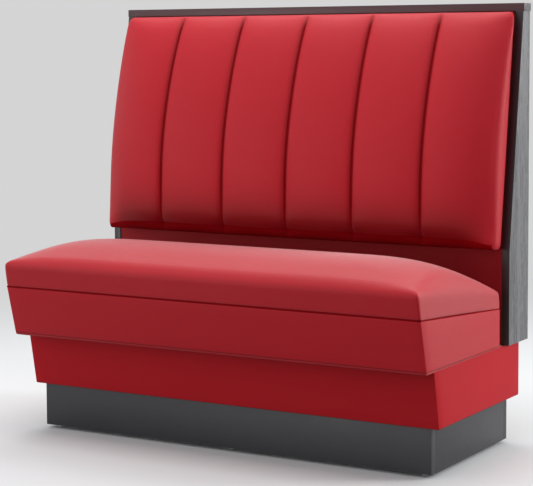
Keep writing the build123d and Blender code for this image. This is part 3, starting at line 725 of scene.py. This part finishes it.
# Seam cord: a flat cord of the darker, sheenless seam vinyl laid in the seam between
# the seat's cushion and its box, as painted shade: a dark line along the front and both
# sides. Its ends stop at the back.
# Each point of its path also has the way out of the cushion.
cord_depth, cord_half_height, cord_inset, cord_stop = 0.0009, 0.0024, 0.0011, 0.004
cord_half, cord_front = seat_half - cord_inset, seam_front_y + cord_inset
cord_rear = seat_rear - cord_stop
side_steps, front_steps = 24, 60
side_places = np.linspace(cord_rear, cord_front, side_steps + 1)[:-1]
front_places = np.linspace(-cord_half, cord_half, front_steps + 1)[1:-1]
cord_path = [(-cord_half, y, -1, 0) for y in side_places] + [(-cord_half, cord_front, -1, -1)]
cord_path += [(x, cord_front, 0, -1) for x in front_places]
cord_path += [(cord_half, cord_front, 1, -1)] + [(cord_half, y, 1, 0) for y in side_places[::-1]]
cord_sides = 12
angles = np.linspace(0, 2 * math.pi, cord_sides, endpoint=False)
cord_profile = [(cord_depth * math.cos(a), cord_half_height * math.sin(a)) for a in angles]
cord_points = [
    (x + out * way_x, y + out * way_y, seam_height(y) + rise)
    for x, y, way_x, way_y in cord_path for out, rise in cord_profile
]


def tube(rings, sides):
    """The faces of a closed tube: its quads from ring to ring and its two ends."""
    last = (rings - 1) * sides
    quads = [
        (ring + i, ring + sides + i, ring + sides + (i + 1) % sides, ring + (i + 1) % sides)
        for ring in range(0, last, sides) for i in range(sides)
    ]
    return quads + [tuple(range(sides)), tuple(range(last, last + sides))[::-1]]


cord = quad_mesh("seat_seam_cord", cord_points, tube(len(cord_path), cord_sides), seam_shade_vinyl)
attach(cord, "booth")

# Stitches and staples. Each is a bent piece of thread or wire whose ends go down into
# the vinyl. One Geometry Nodes tree lays one at every point of a carrier mesh, which
# stores the way its row runs and the way its surface faces.
wire_rows = bpy.data.node_groups.new("wire_rows", "GeometryNodeTree")
wire_rows.interface.new_socket("Points", in_out="INPUT", socket_type="NodeSocketGeometry")
wire_inputs = {}
for key, kind in (
    ("Length", "Float"), ("Thickness", "Float"), ("Rise", "Float"), ("Dip", "Float"),
    ("Sway", "Float"), ("Seed", "Int"), ("Finish", "Material"),
):
    socket = wire_rows.interface.new_socket(key, in_out="INPUT", socket_type="NodeSocket" + kind)
    wire_inputs[key] = socket.identifier
wire_rows.interface.new_socket("Laid", in_out="OUTPUT", socket_type="NodeSocketGeometry")
takes = wire_rows.nodes.new("NodeGroupInput").outputs
gives = wire_rows.nodes.new("NodeGroupOutput").inputs
tree = wire_rows
first_end = maths(tree, "MULTIPLY", takes["Length"], -0.5)
second_end = maths(tree, "MULTIPLY", takes["Length"], 0.5)
buried = maths(tree, "MULTIPLY", takes["Dip"], -1.0)
bends = {
    "Start": (first_end, buried), "Start Handle": (first_end, takes["Rise"]),
    "End Handle": (second_end, takes["Rise"]), "End": (second_end, buried),
}
bends = {
    key: result(tree, "ShaderNodeCombineXYZ", {"X": x, "Z": z}) for key, (x, z) in bends.items()
}
arch = result(tree, "GeometryNodeCurvePrimitiveBezierSegment", {**bends, "Resolution": 8})
half_thick = maths(tree, "MULTIPLY", takes["Thickness"], 0.5)
ring = result(tree, "GeometryNodeCurvePrimitiveCircle", {"Resolution": 8, "Radius": half_thick})
inputs = {"Curve": arch, "Profile Curve": ring, "Fill Caps": True}
wire = result(tree, "GeometryNodeCurveToMesh", inputs)
stored = "GeometryNodeInputNamedAttribute"
run, facing = (
    node(tree, stored, {"Name": key}, data_type="FLOAT_VECTOR").outputs["Attribute"]
    for key in ("run", "face")
)
align = "FunctionNodeAlignRotationToVector"
stood = result(tree, align, {"Vector": facing}, axis="Z")
aimed = result(tree, align, {"Rotation": stood, "Vector": run}, axis="X", pivot_axis="Z")
most_sway = result(tree, "ShaderNodeCombineXYZ", {"Z": takes["Sway"]})
least_sway = scaled(tree, most_sway, -1.0)
inputs = {0: least_sway, 1: most_sway, "Seed": takes["Seed"]}
sway = result(tree, "FunctionNodeRandomValue", inputs, data_type="FLOAT_VECTOR")
inputs = {"Rotation": aimed, "Rotate By": sway}
swayed = result(tree, "FunctionNodeRotateRotation", inputs, rotation_space="LOCAL")
inputs = {"Points": takes["Points"], "Instance": wire, "Rotation": swayed}
laid = result(tree, "GeometryNodeInstanceOnPoints", inputs)
real = result(tree, "GeometryNodeRealizeInstances", {"Geometry": laid})
finished = result(tree, "GeometryNodeSetMaterial", {"Geometry": real, "Material": takes["Finish"]})
tree.links.new(finished, gives["Laid"])


def lay_wires(name, spots, runs, faces, slot_name, values):
    """Lay one bent wire on each spot and keep the result as a plain mesh."""
    carrier_mesh = bpy.data.meshes.new(name + "_carrier")
    carrier_mesh.from_pydata([tuple(s) for s in spots], [], [])
    for key, vectors in (("run", runs), ("face", faces)):
        layer = carrier_mesh.attributes.new(key, "FLOAT_VECTOR", "POINT")
        layer.data.foreach_set("vector", np.array(vectors, dtype=np.float32).ravel())
    carrier = added(name + "_carrier", carrier_mesh)
    rows = carrier.modifiers.new("wire_rows", "NODES")
    rows.node_group = wire_rows
    for key, value in values.items():
        rows[wire_inputs[key]] = value
    laid = carrier.evaluated_get(bpy.context.evaluated_depsgraph_get())
    laid_mesh = bpy.data.meshes.new_from_object(laid)
    bpy.data.objects.remove(carrier)
    bpy.data.meshes.remove(carrier_mesh)
    laid_mesh.name = name
    laid_mesh.polygons.foreach_set("use_smooth", [True] * len(laid_mesh.polygons))
    piece = added(name, laid_mesh)
    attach(piece, "booth")


def add_row(rows, piece, origins, way):
    """Add one row to the lists of spots, directions and facings: the places where rays
    from outside meet a finished piece."""
    bpy.context.view_layer.update()
    met = piece.evaluated_get(bpy.context.evaluated_depsgraph_get())
    hits = [met.ray_cast(Vector(origin), Vector(way), distance=2.0) for origin in origins]
    spots = [np.array(spot) for hit, spot, facing, index in hits if hit]
    last = len(spots) - 1
    rows[0].extend(spots)
    rows[1].extend(spots[min(i + 1, last)] - spots[max(i - 1, 0)] for i in range(len(spots)))
    rows[2].extend(np.array(facing) for hit, spot, facing, index in hits if hit)


thread_finish = textured("sewing_thread", tint(138, 6, 20), 0.2, 3000.0, 0.95, 0.0001)
thread = {
    "Length": 0.0046, "Thickness": 0.0009, "Rise": 0.0007, "Dip": 0.0007,
    "Sway": 0.05, "Seed": 7, "Finish": thread_finish,
}
stitch_pitch, row_margin = 0.006, 0.008
hem_rows = ([], [], [])
hem_z = base_z + hem_height
for panel_name, way in (("front", (0, 1, 0)), ("left", (1, 0, 0)), ("right", (-1, 0, 0))):
    along_front = way[1] == 1
    first, last = (-seat_half, seat_half) if along_front else (base_y, seat_rear)
    places = np.arange(first + row_margin, last - row_margin, stitch_pitch)
    rays = [(s, -1, hem_z) if along_front else (-way[0], s, hem_z) for s in places]
    add_row(hem_rows, bpy.data.objects[f"seat_{panel_name}_cover_vinyl"], rays, way)
lay_wires("seat_hem_stitches", *hem_rows, "red_vinyl", thread)

# Hems. Under each box the vinyl is turned in over the edge and stapled to the plywood,
# so a narrow strip with a wavy cut edge shows on the overhangs.
hem_vinyl = vinyl("hem_vinyl", tint(128, 20, 28), 0.15, 0.6, 0.00012, 0.2)
staple_tone = tint(168, 168, 172)
staple_finish = textured("staple_wire", staple_tone, 0.1, 2600.0, 0.35, 0.00002, metallic=1.0)
staple = {
    "Length": 0.011, "Thickness": 0.0011, "Rise": 0.0006, "Dip": 0.004,
    "Sway": 0.09, "Seed": 19, "Finish": staple_finish,
}
staple_pitch, first_staple, last_staple = 0.04, 0.02, 0.01
hem_thick, hem_bulge, cut_waver = 0.0009, 0.0004, 0.10
cut = np.random.default_rng(23)


def turned_hem(name, start, stop, inward, width, ceiling):
    """A strip of vinyl pressed up against the underside of a box, with its staples."""
    start, stop, inward = np.array(start), np.array(stop), np.array(inward)
    length = np.linalg.norm(stop - start)
    along = (stop - start) / length
    count = max(8, round(length / 0.012))
    wave = np.convolve(cut.normal(0, 1, count + 9), np.ones(9) / 9, mode="valid")[: count + 1]
    shares = np.linspace(0, 1, count + 1)
    thick = hem_thick + hem_bulge * (1 - np.cos(shares * length / staple_pitch * 2 * math.pi)) / 2
    points = []
    for step, share in enumerate(shares):
        reach = width * (1 + cut_waver * wave[step])
        swell = thick[step]
        section = (0, 0), (0, hem_thick), (0.15, swell), (0.85, swell), (1, 0.6 * hem_thick), (1, 0)
        for part, drop in section:
            spot = start + along * length * share + inward * reach * part
            points.append((spot[0], spot[1], ceiling - drop))
    strip = quad_mesh(name, points, tube(count + 1, len(section)), hem_vinyl)
    shell = bmesh.new()
    shell.from_mesh(strip.data)
    bmesh.ops.recalc_face_normals(shell, faces=shell.faces)
    shell.to_mesh(strip.data)
    shell.free()
    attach(strip, "booth")
    places = np.arange(first_staple, length - last_staple, staple_pitch)
    spots = [(*(start + along * s + inward * width * 0.5), ceiling - hem_thick) for s in places]
    runs, faces = [(*along, 0.0)] * len(spots), [(0.0, 0.0, -1.0)] * len(spots)
    lay_wires(name + "_staples", spots, runs, faces, "zinc_steel", staple)


front_hem_width, side_hem_width = 0.032, 0.017
hem_end, hem_y = seat_half - 0.004, base_y + 0.003
seat_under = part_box("seat_front_cover")[0].z
front_hem = (-hem_end, hem_y), (hem_end, hem_y), (0, 1)
turned_hem("seat_front_hem", *front_hem, front_hem_width, seat_under)
lower_low, lower_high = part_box("lower_front_cover")
hem_x, hem_fore = lower_high.x - 0.003, side_corners("lower_front_cover")[0][0] + 0.008
hem_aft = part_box("lower_left_cover")[1].y - 0.002
for name, way in (("lower_left_hem", 1), ("lower_right_hem", -1)):
    start, stop = (-way * hem_x, hem_fore), (-way * hem_x, hem_aft)
    turned_hem(name, start, stop, (way, 0), side_hem_width, lower_low.z)

# Lower back board: the strip behind the seat. Plywood wrapped in plain vinyl, which
# is turned over its four edges and stapled behind.
strip_low, strip_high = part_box("lower_back_panel")
strip_roll = 0.003
# Painted shade: the strip's vinyl is a darker, sheenless copy, for the recess under the cushion.
strip_shade_vinyl = vinyl("strip_shade_vinyl", tint(146, 6, 18), 0.12, 0.55, 0.00009, 0.0)
strip_shell, strip_quads = block_shell(*(
    stations(low, high, strip_roll, strip_roll, pitch, 3)
    for low, high, pitch in zip(strip_low, strip_high, (0.06, 0.006, 0.03))
))
strip_points = rounded(strip_shell, strip_roll, strip_roll)[0]
strip = quad_mesh("lower_back_panel_vinyl", strip_points, strip_quads, strip_shade_vinyl)
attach(strip, "booth")
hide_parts("lower_back_panel")

# Back cushion. Six upright channels of filling behind vinyl that is sewn to a backing
# cloth along five seams. Deepest at the sitter's shoulders, thinner to the top, where it
# rolls over under the cap; its ends are drawn back over the panels' front edges.
back_low, back_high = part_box("back_cushion")
board_low, board_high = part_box("back_board")
back_half = back_high.x
channels = 6
channel_width = 2 * back_half / channels
full_depth, board_edge = 0.103, 0.00909
side_turn, front_turn, foot_turn, head_turn = 0.015, 0.027, 0.022, 0.034
end_reach, end_loss, end_spread = 0.13, 0.34, 0.0185
channel_swell, seam_sink, sink_reach = 0.011, 0.0056, 0.0066
# How dark and how wide the painted shade is beside the seams and toward the foot.
seam_dark, dark_reach, foot_dark, foot_reach = 1.3, 0.0048, 1.45, 0.085
back_pressure, back_swell, back_smoothing = 40.0, 0.008, 1
stitch_foot, stitch_head = 0.035, 0.012
# How deep it is from foot to head, as shares of its height and of the full depth.
depth_levels = (
    0, 0.05, 0.13, 0.185, 0.238, 0.293, 0.346, 0.4, 0.45, 0.504,
    0.557, 0.61, 0.663, 0.718, 0.77, 0.825, 0.878, 0.931, 0.984, 1,
)
depth_shares = (
    0.83, 0.855, 0.895, 0.938, 0.977, 1.004, 1.016, 1.02, 1.015, 0.998,
    0.977, 0.94, 0.893, 0.841, 0.777, 0.7, 0.612, 0.515, 0.385, 0.345,
)
depth_curve = np.polyfit(depth_levels, depth_shares, 6)
lean = (board_high.y - board_low.y - board_edge) / (board_high.z - board_low.z)
back_vinyl = vinyl("back_vinyl", tint(184, 15, 32), 0.12, 0.42, 0.00009, 0.08)

# Stations across the back: close beside each seam, wide over each channel.
wide = [0.038, 0.053, 0.071]
beside = np.array([0, 0.0012, 0.003, 0.006, 0.0105, 0.017, 0.026] + wide)
seams = [-back_half + channel_width * n for n in range(1, channels)]
places = [seam + side * step for seam in seams for side in (-1, 1) for step in beside]
places += [(n + 0.5) * channel_width - back_half for n in range(channels)]
ends = np.concatenate([side_turn * (1 - np.tan(np.linspace(math.pi / 4, 0, 6))), wide])
places += list(-back_half + ends) + list(back_half - ends)
back_xs = np.unique(np.round(places, 7))
back_ys = stations(-full_depth, 0, front_turn, 0, 0.02, 5)
back_zs = stations(back_low.z, back_high.z, 0.06, head_turn, 0.014, 8)
flat_points, back_quads = block_shell(back_xs, back_ys, back_zs)
flat_x, flat_y, flat_z = flat_points.T
forward = (-flat_y / full_depth) ** 2
inward = 1 - np.exp(-((back_half - np.abs(flat_x)) / 0.05) ** 2)
tuck = forward * inward * np.clip(1 - (flat_z - back_low.z) / 0.2, 0, 1)
roll_side = 0.005 + (side_turn - 0.005) * forward
roll_front = side_turn + (front_turn - side_turn) * inward + 0.030 * tuck
roll_foot = 0.004 + (foot_turn - 0.004) * forward + 0.060 * tuck
roll_head = 0.005 + (side_turn + (head_turn - side_turn) * inward - 0.005) * forward
roll_low = np.stack([roll_side, roll_front, roll_foot], 1)
roll_high = np.stack([roll_side, np.zeros_like(forward), roll_head], 1)
rolled_points, outward = rounded(flat_points, roll_low, roll_high)
x, depth, z = rolled_points.T
height_share = (z - back_low.z) / (back_high.z - back_low.z)
thick = np.polyval(depth_curve, height_share)
across = ((x + back_half) / channel_width) % 1
across[np.abs(x) > back_half - 1e-6] = 0
seam_distance = np.minimum(across, 1 - across) * channel_width
from_end = back_half - np.abs(x)
outer_half = from_end < channel_width / 2
edge_fall = np.abs(2 * across - 1) ** 5
crest = 1 - np.where(outer_half, 0.5, 1) * edge_fall
facing = np.clip(-outward[:, 1], 0, 1)
head_fade = 1 - 0.6 * np.clip((height_share - 0.93) / 0.07, 0, 1) ** 2
foot_fade = 1 - 0.7 * np.clip(1 - height_share / 0.05, 0, 1) ** 2
swell = channel_swell * crest * 0.55 * np.sqrt(thick) * head_fade
padding = -depth * thick * (1 - end_loss * np.clip(1 - from_end / end_reach, 0, 1) ** 2)
over = np.clip((padding - 0.010) / 0.02, 0, 1)
spread = 1 + end_spread * over * over * (3 - 2 * over)
board_face = board_low.y + lean * (z - board_low.z)
back_points = np.stack([x * spread, board_face - padding - swell * facing, z], 1)
held_share = np.zeros(len(back_points))
held_share[seam_distance < 0.0013] = 1
held_share[from_end < 0.4 * side_turn] = 0.7
held_share[flat_y > -0.06] = 1
back_points = back_points + inflate(
    back_points, back_quads, held_share, back_pressure, back_swell, back_smoothing
)
inner_seam = ~(outer_half & (from_end < 0.03))
seam_fade = facing * inner_seam * head_fade * foot_fade
back_points[:, 1] += seam_sink * np.exp(-(seam_distance / sink_reach) ** 2) * seam_fade
back_skin = quad_mesh("back_cushion_channelled", back_points, back_quads, back_vinyl)
# Painted shade: the vinyl darkens in and beside each seam and strongly toward the foot, whose
# underside faces get the darker seam finish.
seam_shade = seam_dark * np.exp(-(seam_distance / dark_reach) ** 2) * seam_fade
foot_shade = foot_dark * np.exp(-((z - back_low.z) / foot_reach) ** 2) * inward
under = (flat_z < back_low.z + 0.011) & (np.abs(flat_x) < back_half - 0.4 * side_turn)
shaded = np.maximum(np.clip(seam_shade, 0, 1), foot_shade)
mark_painted_shade(back_skin, shaded, (seam_shade > 0.8) | under)
finer = back_skin.modifiers.new("smooth", "SUBSURF")
finer.levels = finer.render_levels = 1
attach(back_skin, "booth")
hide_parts("back_cushion")
channel_rows = ([], [], [])
stitch_levels = np.arange(back_low.z + stitch_foot, back_high.z - stitch_head, stitch_pitch)
for seam in seams:
    rays = [(seam * (1 + end_spread), -1, z) for z in stitch_levels]
    add_row(channel_rows, back_skin, rays, (0, 1, 0))
lay_wires("back_channel_stitches", *channel_rows, "red_vinyl", thread)

# End panels, cap and outside back. Board faced with charcoal wood-grain laminate,
# upright on the panels and the back, lengthwise on the cap. Every front edge has a
# glued band of its own, a shade darker and smoother.
panel_grain = grained(
    "upright_grain_laminate", tint(106, 106, 109), tint(63, 63, 67), (1, 1, 0.06),
    210.0, 0.85, 0.42, 0.0003, waves=26.0, sway=0.012,
)
cap_grain = grained(
    "lengthwise_grain_laminate", tint(100, 98, 101), tint(66, 64, 67), (0.06, 1, 1),
    210.0, 0.85, 0.4, 0.0003, waves=26.0, sway=0.012,
)
# The eased arrises are paler: partly the filed edge, partly a painted highlight.
grain_arris_highlight = textured("grain_arris_highlight", tint(122, 122, 124), 0.2, 500.0, 0.36, 0.00004)
edge_band = textured("edge_band", tint(31, 23, 27), 0.15, 900.0, 0.42, 0.00005)
# Painted reflection: the cap's band is tinted red, for the red cushion's light on it.
cap_band_red_reflection = textured("cap_band_red_reflection", tint(66, 26, 33), 0.15, 900.0, 0.42, 0.00005)
band_arris_highlight = textured("band_arris_highlight", tint(58, 46, 50), 0.15, 900.0, 0.4, 0.00003)
panel_ease, band_ease = 0.0008, 0.0005
for board_name, finish in (
    ("left_end_panel", panel_grain), ("right_end_panel", panel_grain),
    ("outside_back_panel", panel_grain), ("top_cap", cap_grain),
):
    laminated = board_name + "_laminated"
    eased_board(board_name, laminated, panel_ease, finish, grain_arris_highlight, "grained_laminate")
for band_name, finish in (
    ("left_panel_band", edge_band), ("right_panel_band", edge_band), ("cap_band", cap_band_red_reflection),
):
    eased_board(band_name, band_name + "_eased", band_ease, finish, band_arris_highlight, "dark_edge_band")

# Back frame: the leaning board, whose front and edges the cushion's vinyl wraps, its
# rails and ribs of bare plywood, and the beech dowels that hold the cap.
wrap_ease = 0.0015
# Painted shade: the wrapping vinyl is a darker copy, for the shadowed gap between cushion and
# panels.
wrap_shade_vinyl = vinyl("wrap_shade_vinyl", tint(120, 8, 18), 0.15, 0.5, 0.00008, 0.2)
wraps = (wrap_shade_vinyl, wrap_shade_vinyl)
wrapped = eased_board("back_board", "back_board_wrapped", wrap_ease, *wraps, "red_vinyl")
wrapped.data.materials.append(plywood)
for face in wrapped.data.polygons:
    if face.normal.y > 0.9:
        face.material_index = 2
for part in ("foot_rail", "top_rail", "left_rib", "middle_rib", "right_rib"):
    finish_nodes(plywood, "back_" + part)
beech_tints = tint(206, 162, 118), tint(176, 126, 84)
beech = grained("beech", *beech_tints, (1, 1, 0.06), 400.0, 0.5, 0.55, 0.0001)
finish_nodes(beech, "cap_dowels")
